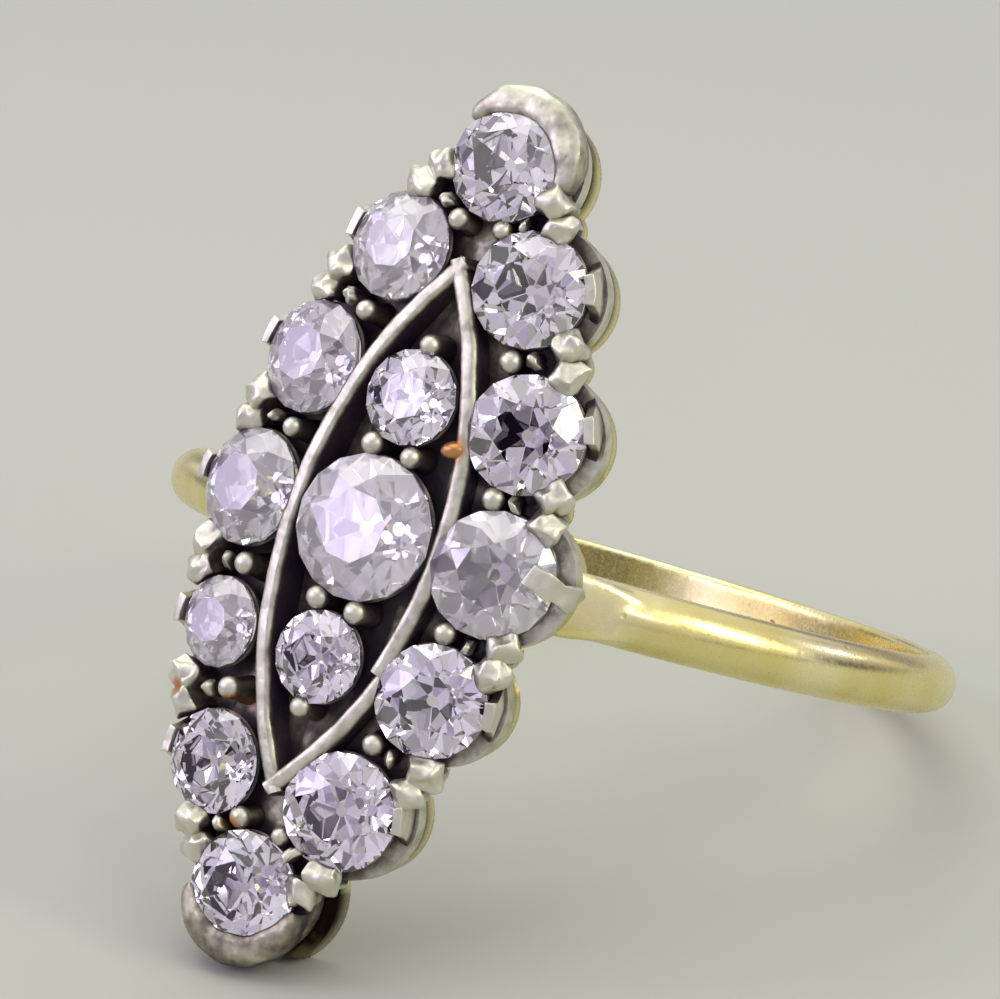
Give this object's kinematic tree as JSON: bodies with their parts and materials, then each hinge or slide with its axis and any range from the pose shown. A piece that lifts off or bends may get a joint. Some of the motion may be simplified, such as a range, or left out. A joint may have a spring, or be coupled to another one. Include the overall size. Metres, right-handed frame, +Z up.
{
  "type": "navette ring",
  "caption": "Finger ring with a pointed-oval head of old-cut round stones in a tarnished silver setting, on a pierced gold plate and thin gold shank, lying on its side.",
  "frame": {"origin": "middle of the ring's bounding box where it rests on the surface", "axes": "+Z up from the surface, the head faces -Y and a little up, +X to the head's right, the shank runs back along +Y"},
  "size_m": [0.0184, 0.0214, 0.0166],
  "materials": {
    "gold": "worn yellow gold, hand polished, with fine pits and brown in its recesses",
    "silver": "old silver, bright on the worn claws and black with tarnish between the stones",
    "diamond": "old-cut diamond with flat polished facets"
  },
  "bodies": {
    "root": {"gold_mount": "gold", "silver_setting": "silver", "stone_top": "diamond", "stone_right_1": "diamond", "stone_right_2": "diamond", "stone_right_3": "diamond", "stone_right_4": "diamond", "stone_right_5": "diamond", "stone_bottom": "diamond", "stone_left_5": "diamond", "stone_left_4": "diamond", "stone_left_3": "diamond", "stone_left_2": "diamond", "stone_left_1": "diamond", "stone_upper": "diamond", "stone_centre": "diamond", "stone_lower": "diamond"}
  },
  "joints": []
}
